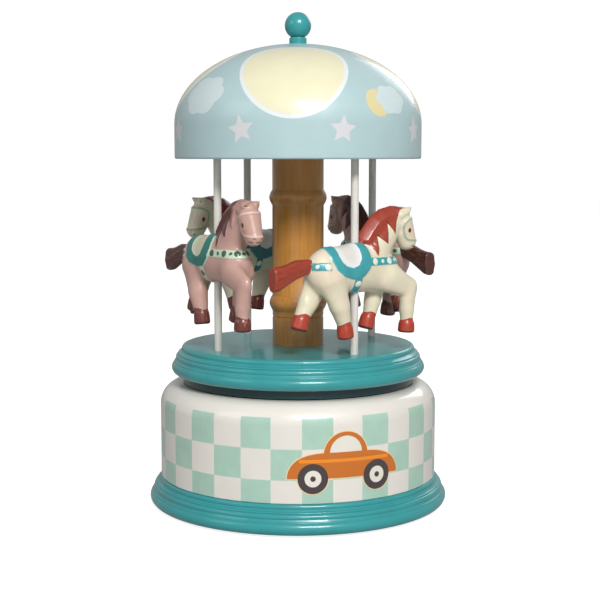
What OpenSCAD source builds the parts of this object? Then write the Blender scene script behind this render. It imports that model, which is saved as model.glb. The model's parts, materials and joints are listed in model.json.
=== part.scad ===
// Carousel music box: a turned drum holds a wind-up movement whose spring barrel turns
// a turntable with four horses on poles under a canopy.
// Origin: centre of the base's lower face. +Z is up, -Y is the front, lengths in millimetres.

/* [Base and drum] */
// Radius of the drum's wall
drum_r = 55; // [53:0.5:57]
// Height of the drum, from the base disc to its top
drum_h = 36.7; // [36:0.1:40]
// Thickness of the drum's wall
drum_wall = 6; // [5:0.5:6]
// Radius of the drum's rounded shoulder
shoulder_r = 8; // [6:0.5:9]
// Height of the base disc
base_h = 11; // [11:0.5:13]
// Thickness of the pad under the base
pad_h = 1; // [0.5:0.5:1.5]
// Radius of the recess that the winding key turns in
recess_r = 26; // [25:0.5:27]

/* [Turntable and column] */
// Radius of the turntable's top face
table_r = 46; // [45:0.5:47]
// Height of the turntable's moulded edge
table_h = 11.2; // [11:0.1:12]
// Height of the turned neck under the turntable
neck_h = 3.3; // [2:0.1:4]
// Clearance between the drum's top and the turning neck
neck_gap = 0.5; // [0.3:0.1:1]
// Radius of the column
column_r = 10.2; // [9.5:0.1:11]
// Height of the column between the turntable and the canopy
column_h = 73.5; // [70:0.5:76]

/* [Canopy] */
// Radius of the canopy
canopy_r = 48.6; // [47:0.1:50]
// Height of the canopy's straight fascia
fascia_h = 13.2; // [12:0.1:15]
// Height of the dome above the fascia
dome_h = 31.6; // [28:0.1:34]
// Wall thickness of the canopy
canopy_wall = 6; // [5:0.5:7]
// Radius of the ball on the finial
finial_r = 5.2; // [4:0.1:6]

/* [Poles and horses] */
// Radius of a pole
pole_r = 1.5; // [1.4:0.05:1.6]
// Distance of the poles from the axis
pole_ring_r = 37.3; // [36:0.1:38]
// Angle of the first pole
pole_turn = -55.2; // [-60:0.2:-50]
// How far the highest horse stands above the lowest
horse_rise = 3; // [0:0.1:6]

/* [Movement] */
// Number of teeth on the comb, one note each
notes = 18; // [15, 18]
// Radius of the spring barrel
barrel_r = 11; // [10.5:0.1:11]
// Height of the spring barrel
barrel_h = 12; // [11:0.5:13]
// Radius of the pinned cylinder
cylinder_r = 6.3; // [6:0.1:6.4]
// Height that the pins stand out of the cylinder
pin_h = 0.8; // [0.6:0.1:0.8]

/* [Hidden] */
$fn = 96;
eps = 0.01;

// Heights of the stacked pieces
base_z = pad_h;
drum_z = base_z + base_h;
drum_top = drum_z + drum_h;
neck_z = drum_top + neck_gap;
table_z = neck_z + neck_h;
table_top = table_z + table_h;
canopy_z = table_top + column_h;
dome_z = canopy_z + fascia_h;
dome_top = dome_z + dome_h;

// Base
base_floor = 3;
base_edge = 9;
key_hole_r = 3.4;
screw_r = 1.6;
screw_head_r = 3;
base_screw_ring = drum_r - drum_wall / 2;
base_screw_reach = 12;
pad_r = [30, drum_r - 1];
drum_ceiling = 5;

// Fits
running = 0.05;
glue_gap = 0.05;
tenon_r = 4;
tenon_h = 5;
socket_h = 6;
ceiling_h = 4;

// Movement: the barrel stands on the object's axis, the cylinder lies along +X
bed_z = drum_z;
bed_h = 2.2;
bed_top = bed_z + bed_h;
arbor_r = 2.5;
arbor_top = bed_z + 14;
barrel_z = bed_top + 2.8;
barrel_skin = 0.8;
crown_teeth = 48;
crown_r = [11.8, 13.7];
crown_z = barrel_z + 1.6;
tooth_h = 1;
pinion_teeth = 20;
pinion_root = 4.7;
pinion_tip = 5.6;
mesh_depth = 0.75;
cyl_z = crown_z + tooth_h - mesh_depth + pinion_tip;
cyl_x = [16, 34];
cyl_pin_r = 0.2;
rod_r = 1;
pinion_x = [12, 13.8];
inner_x = 14.4;
outer_x = 38;
plate_t = 1;
gear_module = 0.4;
gear_teeth = 40;
gear_x = [34.5, 35.9];
governor_pinion_teeth = 10;
governor_teeth = 28;
governor_y = -gear_module * (gear_teeth + governor_pinion_teeth) / 2;
governor_x = [36.3, 37.3];
governor_rod_r = 0.6;
worm_r = 1.5;
worm_y = governor_y - gear_module * governor_teeth / 2 - 2;
worm_x = (governor_x[0] + governor_x[1]) / 2;
worm_span = 8;
brake_z = cyl_z + 7;
brake_r = 5.4;
frame_x = [32.4, 33.4];
frame_y = [-24, -7.6];
arm_z = cyl_z + 5;
comb_t = 0.9;
comb_y = [7.3, 20, 27];
comb_screw_x = [20, 30];
comb_screw_y = 23.6;
small_screw_r = 1;
small_head_r = 2;
movement_ring = 21;
spindle_r = 1.9;
spindle_z = barrel_z + barrel_h - 1;
spindle_top = table_z + 4.5;
hub_r = [spindle_r, 4, 10];
hub_flange = 2.5;
hub_z = neck_z + 0.3;

// Colours
teal = [0.30, 0.66, 0.68];
cream = [0.91, 0.89, 0.80];
pink = [0.80, 0.62, 0.60];
white = [0.90, 0.89, 0.87];
sky = [0.70, 0.80, 0.83];
honey = [0.76, 0.54, 0.26];
brass = [0.80, 0.64, 0.30];
steel = [0.66, 0.67, 0.70];
zinc = [0.60, 0.61, 0.63];

// Points of an arc round [r, z], from angle a to angle b
function arc(r, z, radius, a, b, n = 10) =
  [for (i = [0:n]) [r + radius * cos(a + (b - a) * i / n), z + radius * sin(a + (b - a) * i / n)]];

// Moulded edge of the turntable and the base disc, from its lower to its upper corner.
// The offsets are added to the radius of the upper face, r, and to the foot's height, z.
function moulding(r, z, h) = concat(
  [[r + 1.5, z]],
  arc(r + 1.9, z + 2.5, 2.6, -62, 62, 12),
  arc(r + 1.35, z + 6.6, 1.35, -55, 60, 8),
  [[r + 0.75, z + h - 2.6]],
  arc(r - 1.1, z + h - 1.1, 1.1, -25, 90, 8)
);

// A disc with the moulded edge
module moulded_disc(r, z, h) {
  rotate_extrude($fn = 160) polygon(concat([[0, z]], moulding(r, z, h), [[0, z + h]]));
}

// The upper right quarter of an ellipse, from its side to its top
function dome(r, h, n = 24) = [for (i = [0:n]) [r * cos(90 * i / n), h * sin(90 * i / n)]];

// A copy of the children at each angle round Z
module ring(count, radius, first = 0) {
  for (i = [0:count - 1]) rotate(first + i * 360 / count) translate([radius, 0, 0]) children();
}

// A cylinder lying along +X
module rod(x0, x1, r, fn = 48) {
  translate([x0, 0, 0]) rotate([0, 90, 0]) cylinder(h = x1 - x0, r = r, $fn = fn);
}

// A pan-head screw, its head's lower face at the origin and its shank below
module screw(r, head_r, head_h, length) {
  cylinder(h = head_h, r = head_r, $fn = 32);
  translate([0, 0, -length]) cylinder(h = length + eps, r = r, $fn = 32);
}

// Spur gear lying along +X, with one tooth pointing to angle first in the YZ plane
module spur(x0, x1, teeth, root, tip, half_root, half_tip, first = 0) {
  rotate([90, 0, 90]) translate([0, 0, x0]) linear_extrude(x1 - x0) union() {
    circle(r = root, $fn = 64);
    for (i = [0:teeth - 1]) rotate(first + i * 360 / teeth)
      polygon([[root - 0.3, -half_root], [tip, -half_tip], [tip, half_tip], [root - 0.3, half_root]]);
  }
}

// ---- base and drum ----

module base_pad() {
  color([0.25, 0.27, 0.27]) difference() {
    cylinder(h = pad_h, r = pad_r[1]);
    translate([0, 0, -1]) cylinder(h = pad_h + 2, r = pad_r[0]);
  }
}

module base_disc() {
  color(teal) difference() {
    moulded_disc(table_r + base_edge, base_z, base_h);
    translate([0, 0, base_z - 1]) cylinder(h = base_h - base_floor + 1, r = recess_r);
    translate([0, 0, base_z]) cylinder(h = base_h + 1, r = key_hole_r, $fn = 48);
    ring(4, base_screw_ring, 45) translate([0, 0, base_z - 1]) {
      cylinder(h = base_h + 2, r = screw_r + glue_gap, $fn = 32);
      cylinder(h = 1 + screw_head_r, r = screw_head_r + 0.2, $fn = 32);
    }
    ring(3, movement_ring) translate([0, 0, base_z]) cylinder(h = base_h + 1, r = 1.6, $fn = 32);
  }
}

module base_screws() {
  color(steel) ring(4, base_screw_ring, 45) translate([0, 0, base_z + screw_head_r]) rotate([180, 0, 0])
    screw(screw_r, screw_head_r, screw_head_r - 0.4, base_h - screw_head_r + base_screw_reach);
}

module drum() {
  inner_r = drum_r - drum_wall;
  inner_round = shoulder_r - 4;
  color(white) difference() {
    rotate_extrude($fn = 180) polygon(concat(
      [[0, drum_z], [drum_r, drum_z]],
      arc(drum_r - shoulder_r, drum_top - shoulder_r, shoulder_r, 0, 90, 16),
      [[0, drum_top]]));
    rotate_extrude($fn = 120) polygon(concat(
      [[0, drum_z - 1], [inner_r, drum_z - 1]],
      arc(inner_r - inner_round, drum_top - drum_ceiling - inner_round, inner_round, 0, 90, 8),
      [[0, drum_top - drum_ceiling]]));
    translate([0, 0, drum_top - drum_ceiling - 1])
      cylinder(h = drum_ceiling + 2, r = hub_r[1] + glue_gap, $fn = 48);
    ring(4, base_screw_ring, 45) translate([0, 0, drum_z - 1])
      cylinder(h = base_screw_reach + 1.5, r = screw_r + glue_gap, $fn = 32);
  }
}

module spindle_bush() {
  z = drum_top - drum_ceiling;
  color(brass) difference() {
    union() {
      translate([0, 0, z]) cylinder(h = drum_ceiling, r = hub_r[1], $fn = 48);
      translate([0, 0, z - 1.2]) cylinder(h = 1.2, r = 7, $fn = 48);
    }
    translate([0, 0, z - 2]) cylinder(h = drum_ceiling + 3, r = spindle_r + running, $fn = 48);
  }
}

// ---- fixed parts of the movement ----

module bedplate() {
  color(zinc) difference() {
    union() {
      translate([0, 0, bed_z]) linear_extrude(bed_h) intersection() {
        circle(r = drum_r - drum_wall - 2);
        translate([-24, -26]) square([69, 54]);
      }
      // comb rest
      translate([cyl_x[0] - 1, comb_y[1] + 0.5, bed_z]) cube([20, 6.5, cyl_z - comb_t / 2 - bed_z]);
    }
    translate([0, 0, bed_z - 1]) cylinder(h = bed_h + 2, r = arbor_r + running, $fn = 48);
    ring(3, movement_ring) translate([0, 0, bed_z - 1]) cylinder(h = bed_h + 2, r = 1.55, $fn = 32);
    for (x = comb_screw_x) translate([x, comb_screw_y, bed_top])
      cylinder(h = cyl_z, r = small_screw_r + glue_gap, $fn = 32);
    bracket_screw_places() translate([0, 0, -4]) cylinder(h = 5, r = small_screw_r + glue_gap, $fn = 32);
    governor_screw_places() translate([0, 0, -4]) cylinder(h = 5, r = small_screw_r + glue_gap, $fn = 32);
  }
}

module movement_screws() {
  color(steel) ring(3, movement_ring) translate([0, 0, drum_z - base_floor]) rotate([180, 0, 0])
    screw(1.5, 2.8, 1.6, base_floor + bed_h - 0.2);
}

// Steel comb: one plate with a tooth for each note
module comb() {
  pitch = (cyl_x[1] - cyl_x[0]) / notes;
  slit = 0.16;
  color([0.72, 0.73, 0.75]) translate([0, 0, cyl_z - comb_t / 2]) difference() {
    linear_extrude(comb_t) difference() {
      translate([cyl_x[0], comb_y[0]]) square([cyl_x[1] - cyl_x[0], comb_y[2] - comb_y[0]]);
      for (i = [1:notes - 1]) translate([cyl_x[0] + i * pitch - slit / 2, comb_y[0] - 1])
        square([slit, comb_y[1] - comb_y[0] + 1]);
    }
    for (x = comb_screw_x) translate([x, comb_screw_y, -1])
      cylinder(h = comb_t + 2, r = small_screw_r + glue_gap, $fn = 32);
  }
}

module comb_screws() {
  color(steel) for (x = comb_screw_x) translate([x, comb_screw_y, cyl_z + comb_t / 2])
    screw(small_screw_r, small_head_r, 1.4, 8);
}

// Both bracket feet, from the feet's upper faces
module bracket_screw_places() {
  for (x = [inner_x + 3, outer_x + 3]) translate([x, 0, bed_top + plate_t]) children();
}

// A plate on the bedplate with a foot towards +X
module bracket(x, y0, y1, top) {
  translate([x, y0, bed_top]) cube([plate_t, y1 - y0, top - bed_top]);
  translate([x, -3, bed_top]) cube([5.2, 6, plate_t]);
}

module inner_bracket() {
  color(zinc) difference() {
    bracket(inner_x, -4, 4, cyl_z + 3);
    translate([0, 0, cyl_z]) rod(inner_x - 1, inner_x + 2, rod_r + running);
    bracket_screw_places() translate([0, 0, -3]) cylinder(h = 4, r = small_screw_r + glue_gap, $fn = 32);
  }
}

module outer_bracket() {
  color(zinc) difference() {
    bracket(outer_x, governor_y - 2.5, 4, cyl_z + 3);
    translate([0, 0, cyl_z]) rod(outer_x - 1, outer_x + 2, rod_r + running);
    translate([0, governor_y, cyl_z]) rod(outer_x - 1, outer_x + 2, governor_rod_r + running);
    bracket_screw_places() translate([0, 0, -3]) cylinder(h = 4, r = small_screw_r + glue_gap, $fn = 32);
  }
}

module bracket_screws() {
  color(steel) bracket_screw_places() screw(small_screw_r, 1.6, 0.8, 3);
}

module governor_screw_places() {
  for (x = [frame_x[0] - 1, outer_x + 1.4]) translate([x, frame_y[0] + 4.6, bed_top + plate_t]) children();
}

// Frame of the governor: a foot, a plate for the wheel's arbor and an arm over the worm
module governor_frame() {
  wide = [frame_x[0] - 3, outer_x + 3];
  color(zinc) difference() {
    union() {
      translate([wide[0], frame_y[0], bed_top]) cube([wide[1] - wide[0], 9, plate_t]);
      translate([frame_x[0], frame_y[0], bed_top]) cube([plate_t, frame_y[1] - frame_y[0], plate_t]);
      translate([frame_x[0], governor_y - 2.5, bed_top])
        cube([plate_t, frame_y[1] - governor_y + 2.5, cyl_z + 2.5 - bed_top]);
      translate([worm_x - 2.5, frame_y[0], bed_top]) cube([5, plate_t, arm_z + plate_t - bed_top]);
      translate([worm_x - 2, frame_y[0], arm_z]) cube([4, worm_y + 2 - frame_y[0], plate_t]);
    }
    translate([0, governor_y, cyl_z]) rod(frame_x[0] - 1, frame_x[1] + 1, governor_rod_r + running);
    translate([worm_x, worm_y, bed_top - 1]) cylinder(h = arm_z, r = governor_rod_r + running, $fn = 32);
    governor_screw_places() translate([0, 0, -3]) cylinder(h = 4, r = small_screw_r + glue_gap, $fn = 32);
  }
}

module governor_screws() {
  color(steel) governor_screw_places() screw(small_screw_r, small_head_r, 1.2, 3);
}

// Closed turns of square wire that grip the winding arbor one way only
module clutch_spring() {
  wire = 0.6;
  color(steel) for (i = [0:2]) translate([0, 0, bed_top + i * (wire - eps)]) difference() {
    cylinder(h = wire, r = arbor_r + running + wire, $fn = 48);
    translate([0, 0, -1]) cylinder(h = wire + 2, r = arbor_r + running, $fn = 48);
  }
}

// ---- winding key ----

module winding_arbor() {
  color(steel) translate([0, 0, base_z + 2]) cylinder(h = arbor_top - base_z - 2, r = arbor_r, $fn = 48);
}

// Butterfly key, its two wings standing out from a round boss
module winding_key() {
  wing_t = 2.4;
  wing_h = 6;
  color(steel) translate([0, 0, base_z + 0.8]) difference() {
    union() {
      cylinder(h = wing_h + 0.6, r = 4.2, $fn = 48);
      for (side = [0, 180]) rotate(side) rotate([90, 0, 0]) translate([0, 0, -wing_t / 2])
        linear_extrude(wing_t) union() {
          translate([0, 0.9]) square([12.5, wing_h - 1.8]);
          translate([12.5, wing_h / 2]) circle(r = wing_h / 2, $fn = 40);
        }
    }
    translate([0, 0, 1.2]) cylinder(h = wing_h + 2, r = arbor_r + glue_gap / 2, $fn = 48);
  }
}

// ---- pinned cylinder ----

// The pins follow a tune-like rule: each note sounds a few times in one turn
module pinned_cylinder() {
  pitch = (cyl_x[1] - cyl_x[0]) / notes;
  pins_each = 3;
  color(brass) translate([0, 0, cyl_z]) difference() {
    union() {
      rod(cyl_x[0], cyl_x[1], cylinder_r, 72);
      for (i = [0:notes - 1], k = [0:pins_each - 1])
        translate([cyl_x[0] + (i + 0.5) * pitch, 0, 0]) rotate([47 * i + 360 * k / pins_each + 19 * k, 0, 0])
          translate([0, 0, cylinder_r - 0.5]) cylinder(h = pin_h + 0.5, r = cyl_pin_r, $fn = 16);
    }
    rod(cyl_x[0] - 1, cyl_x[1] + 1, rod_r + glue_gap);
  }
}

module cylinder_arbor() {
  color(steel) translate([0, 0, cyl_z]) rod(11.5, outer_x + plate_t + 0.6, rod_r);
}

// Its lowest tooth stands in a gap of the barrel's crown
module cylinder_pinion() {
  color(brass) translate([0, 0, cyl_z]) difference() {
    spur(pinion_x[0], pinion_x[1], pinion_teeth, pinion_root, pinion_tip, 0.42, 0.22, -90);
    rod(pinion_x[0] - 1, pinion_x[1] + 1, rod_r + glue_gap);
  }
}

// A tooth points to the governor's pinion
module cylinder_gear() {
  pitch_r = gear_module * gear_teeth / 2;
  color(brass) translate([0, 0, cyl_z]) difference() {
    spur(gear_x[0], gear_x[1], gear_teeth, pitch_r - 0.45, pitch_r + 0.3, 0.34, 0.14, 180);
    rod(gear_x[0] - 1, gear_x[1] + 1, rod_r + glue_gap);
  }
}

// ---- governor ----

// The wheel and its pinion are one moulding. A gap of the pinion faces the cylinder's gear.
module governor_wheel() {
  pitch_r = gear_module * governor_pinion_teeth / 2;
  wheel_r = gear_module * governor_teeth / 2;
  color([0.93, 0.92, 0.86]) translate([0, governor_y, cyl_z]) difference() {
    union() {
      spur(gear_x[0] - 0.2, governor_x[0] + 0.1, governor_pinion_teeth, pitch_r - 0.55, pitch_r + 0.28,
        0.34, 0.14, 18);
      spur(governor_x[0], governor_x[1], governor_teeth, wheel_r - 0.45, wheel_r + 0.3, 0.34, 0.14, 0);
    }
    rod(gear_x[0] - 1, governor_x[1] + 1, governor_rod_r + glue_gap);
  }
}

module governor_arbor() {
  color(steel) translate([0, governor_y, cyl_z])
    rod(frame_x[0] - 0.4, outer_x + plate_t + 0.4, governor_rod_r);
}

// Upright shaft with a two-start worm
module worm_shaft() {
  color(steel) translate([worm_x, worm_y, 0]) {
    translate([0, 0, bed_top]) cylinder(h = brake_z + 4.6 - bed_top, r = governor_rod_r, $fn = 32);
    translate([0, 0, cyl_z - worm_span / 2]) linear_extrude(worm_span, twist = -1080, slices = 60, $fn = 12)
      scale([1, 0.72]) circle(r = worm_r, $fn = 12);
  }
}

// Two paddles that beat the air and hold the speed down
module air_brake() {
  color([0.93, 0.92, 0.86]) translate([worm_x, worm_y, brake_z]) difference() {
    union() {
      cylinder(h = 5, r = 1.6, $fn = 32);
      translate([-brake_r, -0.35, 0]) cube([2 * brake_r, 0.7, 5]);
    }
    translate([0, 0, -1]) cylinder(h = 5.6, r = governor_rod_r + glue_gap / 2, $fn = 32);
  }
}

// ---- spring barrel and drive ----

// Cup with a toothed crown round its foot
module spring_barrel() {
  color(brass) translate([0, 0, barrel_z]) {
    difference() {
      union() {
        cylinder(h = barrel_h, r = barrel_r);
        cylinder(h = crown_z - barrel_z, r = crown_r[1] + 0.3);
      }
      translate([0, 0, 1]) cylinder(h = barrel_h, r = barrel_r - barrel_skin);
      translate([0, 0, -1]) cylinder(h = 3, r = arbor_r + running, $fn = 48);
    }
    // half a pitch off the X axis, so that a gap faces the pinion
    for (i = [0:crown_teeth - 1]) rotate((i + 0.5) * 360 / crown_teeth)
      translate([crown_r[0], 0, crown_z - barrel_z - eps]) rotate([90, 0, 90])
        linear_extrude(crown_r[1] - crown_r[0])
          polygon([[-0.42, 0], [0.42, 0], [0.22, tooth_h], [-0.22, tooth_h]]);
  }
}

module barrel_cover() {
  color(brass) translate([0, 0, barrel_z + barrel_h]) difference() {
    union() {
      cylinder(h = 1, r = barrel_r);
      cylinder(h = 4, r = 3.4, $fn = 48);
    }
    translate([0, 0, -1]) cylinder(h = 6, r = spindle_r + glue_gap / 2, $fn = 48);
  }
}

// Steel ribbon wound as a spiral inside the barrel
module mainspring() {
  turns = 7;
  steps = 30;
  ribbon = 0.35;
  inner = arbor_r + 0.5;
  outer = barrel_r - barrel_skin - ribbon - 0.1;
  total = turns * steps;
  function spiral(offset) = [for (i = [0:total])
    (inner + (outer - inner) * i / total + offset) * [cos(360 * i / steps), sin(360 * i / steps)]];
  outside = spiral(ribbon);
  color([0.45, 0.48, 0.55]) translate([0, 0, barrel_z + 1.3]) linear_extrude(barrel_h - 1.8)
    polygon(concat(spiral(0), [for (i = [total:-1:0]) outside[i]]));
}

module drive_spindle() {
  color(steel) translate([0, 0, spindle_z]) cylinder(h = spindle_top - spindle_z, r = spindle_r, $fn = 48);
}

module turntable_hub() {
  color(brass) translate([0, 0, hub_z]) difference() {
    union() {
      cylinder(h = hub_flange, r = hub_r[2], $fn = 64);
      cylinder(h = spindle_top - hub_z, r = hub_r[1], $fn = 48);
    }
    translate([0, 0, -1]) cylinder(h = spindle_top, r = hub_r[0] + glue_gap / 2, $fn = 48);
    ring(3, 7, 30) translate([0, 0, -1]) {
      cylinder(h = 6, r = small_screw_r + glue_gap, $fn = 32);
      cylinder(h = 2.2, r = small_head_r + 0.1, $fn = 32);
    }
  }
}

module hub_screws() {
  color(steel) ring(3, 7, 30) translate([0, 0, hub_z + 1.2]) rotate([180, 0, 0])
    screw(small_screw_r, small_head_r, 1, 6);
}

// ---- turntable, column and poles ----

// Where the poles stand, each with its own angle
function pole_angle(i) = pole_turn + 90 * i;

module turntable() {
  color(teal) difference() {
    union() {
      moulded_disc(table_r, table_z, table_h);
      translate([0, 0, neck_z]) cylinder(h = neck_h + eps, r = table_r, $fn = 160);
    }
    translate([0, 0, neck_z - 1]) cylinder(h = hub_z + hub_flange - neck_z + 1 + eps, r = hub_r[2] + 0.2);
    translate([0, 0, neck_z]) cylinder(h = spindle_top - neck_z + 0.3, r = hub_r[1] + glue_gap, $fn = 48);
    ring(3, 7, 30) translate([0, 0, hub_z]) cylinder(h = 7.8, r = small_screw_r + glue_gap, $fn = 32);
    translate([0, 0, table_top - tenon_h]) cylinder(h = tenon_h + 1, r = tenon_r + glue_gap, $fn = 48);
    for (i = [0:3]) rotate(pole_angle(i)) translate([pole_ring_r, 0, table_top - socket_h])
      cylinder(h = socket_h + 1, r = pole_r + glue_gap, $fn = 32);
  }
}

// Turned column with two beads and a fine groove under the lower one
module column() {
  bead_rise = 1.2;
  bead_half = 3.1;
  beads = [16.5, 58.4];
  groove = 0.35;
  function bead(z) = [for (i = [-8:8])
    [column_r + bead_rise * cos(11.25 * i), z + bead_half * i / 8]];
  color(honey) rotate_extrude($fn = 120) polygon(concat(
    [[0, table_top - tenon_h + 0.1], [tenon_r, table_top - tenon_h + 0.1], [tenon_r, table_top],
     [column_r, table_top], [column_r, table_top + 10.8], [column_r - groove, table_top + 11.1],
     [column_r, table_top + 11.4]],
    bead(table_top + beads[0]),
    bead(table_top + beads[1]),
    [[column_r, canopy_z], [tenon_r, canopy_z], [tenon_r, canopy_z + ceiling_h], [0, canopy_z + ceiling_h]]));
}

module pole(i) {
  color(white) rotate(pole_angle(i)) translate([pole_ring_r, 0, table_top - socket_h + 0.1])
    cylinder(h = socket_h - 0.1 + column_h + ceiling_h, r = pole_r, $fn = 48);
}

// ---- horses ----

// A rounded stretch between two stops, each a point and a radius
module stretch(from, to) {
  along = to[0] - from[0];
  reach = norm(along);
  inset = 0.98;
  translate(from[0]) sphere(r = from[1], $fn = 48);
  translate(to[0]) sphere(r = to[1], $fn = 48);
  translate(from[0]) rotate([0, acos(along[2] / reach), atan2(along[1], along[0])])
    cylinder(h = reach, r1 = from[1] * inset, r2 = to[1] * inset, $fn = 48);
}

// A chain of stretches
module limb(stops) {
  for (i = [0:len(stops) - 2]) stretch(stops[i], stops[i + 1]);
}

// A trotting horse, its pole at the origin, heading along +X. Its heights are counted from the turntable's
// top when it stands at its lowest, where the lowest hoof hangs 7 mm above it.
module horse_shape() {
  side = 3.4;
  difference() {
    union() {
      // the body, taller than it is wide
      for (h = [-2.3, 2.3])
        limb([[[-15, 0, 32.2 + h], 6.2], [[0, 0, 32.9 + h], 6.4], [[14.3, 0, 30.9 + h], 5.8]]);
      limb([[[9.2, 0, 38], 6], [[18.3, 0, 49.3], 4.1]]);
      limb([[[22.9, 0, 49.2], 4.2], [[26, 0, 41.9], 3.1]]);
      limb([[[5, 0, 45.5], 2.4], [[14, 0, 52], 3]]);
      // the tail grows taller towards its end
      limb([[[-18, 0, 34.3], 2.1], [[-35.2, 0, 32.2], 2.6]]);
      limb([[[-18, 0, 33.9], 2], [[-35.2, 0, 28], 2.6]]);
      limb([[[-15, side, 28], 4.6], [[-19.1, side, 20.6], 3.8], [[-22.6, side, 13.8], 3.3]]);
      limb([[[-12.5, -side, 29], 4.8], [[-9.5, -side, 19.6], 3.9], [[-6.7, -side, 10.2], 3.3]]);
      limb([[[13, side, 28], 4.4], [[11, side, 20], 3.4], [[8.4, side, 12.2], 3.2]]);
      limb([[[14.5, -side, 28.5], 4.5], [[23.6, -side, 24.3], 3.7], [[23, -side, 10.2], 3.3]]);
    }
    cylinder(h = 60, r = pole_r + 0.15, $fn = 32);
  }
}

// The horses stand at slightly different heights on their poles
function horse_lift(i) = horse_rise * [0, 5, 5, 6][i] / 6;

module horse(i) {
  color(i % 2 == 0 ? cream : pink) rotate(pole_angle(i))
    translate([pole_ring_r, 0, table_top + horse_lift(i)]) rotate(90) horse_shape();
}

// ---- canopy ----

module canopy_ceiling() {
  color(sky) difference() {
    translate([0, 0, canopy_z]) cylinder(h = ceiling_h, r = canopy_r - canopy_wall - glue_gap, $fn = 120);
    translate([0, 0, canopy_z - 1]) cylinder(h = ceiling_h + 2, r = tenon_r + glue_gap, $fn = 48);
    for (i = [0:3]) rotate(pole_angle(i)) translate([pole_ring_r, 0, canopy_z - 1])
      cylinder(h = ceiling_h + 2, r = pole_r + glue_gap, $fn = 32);
  }
}

// Turned shell: a straight fascia with a small round on its lower edge, then a dome
module canopy() {
  edge_r = 0.8;
  inner_r = canopy_r - canopy_wall;
  color(sky) difference() {
    rotate_extrude($fn = 180) polygon(concat(
      [[0, canopy_z]],
      arc(canopy_r - edge_r, canopy_z + edge_r, edge_r, -90, 0, 6),
      [for (p = dome(canopy_r, dome_h)) p + [0, dome_z]]));
    rotate_extrude($fn = 120) polygon(concat(
      [[0, canopy_z - 1], [inner_r, canopy_z - 1]],
      [for (p = dome(inner_r, dome_h - canopy_wall)) p + [0, dome_z]]));
    translate([0, 0, dome_top - canopy_wall - 1]) cylinder(h = canopy_wall + 2, r = 2.05, $fn = 32);
  }
}

// Turned ball on a collar, with a tenon in the dome
module finial() {
  collar_r = 3.4;
  ball_z = dome_top + 2.4 + finial_r * 0.9;
  color(teal) {
    translate([0, 0, dome_top - canopy_wall]) cylinder(h = canopy_wall + 1, r = 2, $fn = 32);
    translate([0, 0, dome_top]) cylinder(h = 2.6, r = collar_r, $fn = 48);
    translate([0, 0, ball_z]) sphere(r = finial_r, $fn = 64);
  }
}

base_pad();
base_disc();
base_screws();
drum();
spindle_bush();
bedplate();
movement_screws();
comb();
comb_screws();
inner_bracket();
outer_bracket();
bracket_screws();
governor_frame();
governor_screws();
clutch_spring();
winding_key();
winding_arbor();
pinned_cylinder();
cylinder_arbor();
cylinder_pinion();
cylinder_gear();
governor_wheel();
governor_arbor();
worm_shaft();
air_brake();
spring_barrel();
barrel_cover();
mainspring();
drive_spindle();
turntable_hub();
hub_screws();
turntable();
column();
for (i = [0:3]) pole(i);
for (i = [0:3]) horse(i);
canopy_ceiling();
canopy();
finial();
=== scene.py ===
"""Carousel music box: the looks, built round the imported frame.

Blender lengths are in metres. The horse sculpt, the turned profiles and the printed motifs are worked out in
millimetres and scaled by MM when their meshes are made. -Y is the front and +Z is up."""
import json
import math

import bpy
import numpy as np
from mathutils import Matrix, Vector
from mathutils.geometry import delaunay_2d_cdt


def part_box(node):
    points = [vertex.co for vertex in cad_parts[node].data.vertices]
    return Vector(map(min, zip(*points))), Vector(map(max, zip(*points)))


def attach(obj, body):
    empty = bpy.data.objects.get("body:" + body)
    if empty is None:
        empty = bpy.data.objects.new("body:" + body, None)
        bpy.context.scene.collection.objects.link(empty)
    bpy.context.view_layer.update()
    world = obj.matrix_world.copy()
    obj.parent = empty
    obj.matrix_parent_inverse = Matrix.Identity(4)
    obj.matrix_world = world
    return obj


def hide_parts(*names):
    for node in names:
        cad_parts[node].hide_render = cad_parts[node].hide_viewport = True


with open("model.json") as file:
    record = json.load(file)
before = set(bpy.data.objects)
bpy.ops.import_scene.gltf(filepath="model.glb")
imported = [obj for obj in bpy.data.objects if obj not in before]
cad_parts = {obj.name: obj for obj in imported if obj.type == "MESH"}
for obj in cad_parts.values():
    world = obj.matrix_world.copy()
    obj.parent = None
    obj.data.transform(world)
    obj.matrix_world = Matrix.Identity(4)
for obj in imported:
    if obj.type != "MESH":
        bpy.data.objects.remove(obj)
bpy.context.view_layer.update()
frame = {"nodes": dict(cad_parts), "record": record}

MM = 0.001
NODES = frame["nodes"]


# ---- sizes read from the frame, in millimetres ----

def box_mm(node):
    """Lowest and highest corner of a CAD node, in millimetres."""
    return tuple(np.array(corner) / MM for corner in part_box(node))


BASE_Z = box_mm("base_disc")[0][2]
DRUM_Z, DRUM_TOP = (corner[2] for corner in box_mm("drum"))
DRUM_R = box_mm("drum")[1][0]
NECK_Z, TABLE_TOP = (corner[2] for corner in box_mm("turntable"))
CANOPY_Z, DOME_TOP = (corner[2] for corner in box_mm("canopy"))
CANOPY_R = box_mm("canopy")[1][0]
FINIAL_TOP = box_mm("finial")[1][2]
# how far the moulded edges stand out past the discs that they run round
EDGE_OVERHANG = 4.5
TABLE_R = box_mm("turntable")[1][0] - EDGE_OVERHANG
BASE_R = box_mm("base_disc")[1][0] - EDGE_OVERHANG
# the heights of the turntable without its neck and of the fascia, as in the CAD
TABLE_H, FASCIA_H = 11.2, 13.2
NECK_H = TABLE_TOP - NECK_Z - TABLE_H
DOME_Z = CANOPY_Z + FASCIA_H
DOME_H = DOME_TOP - DOME_Z


def placed(name, data):
    """A new object in the scene."""
    thing = bpy.data.objects.new(name, data)
    bpy.context.scene.collection.objects.link(thing)
    return thing


# ---- camera, light and floor ----

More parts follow.
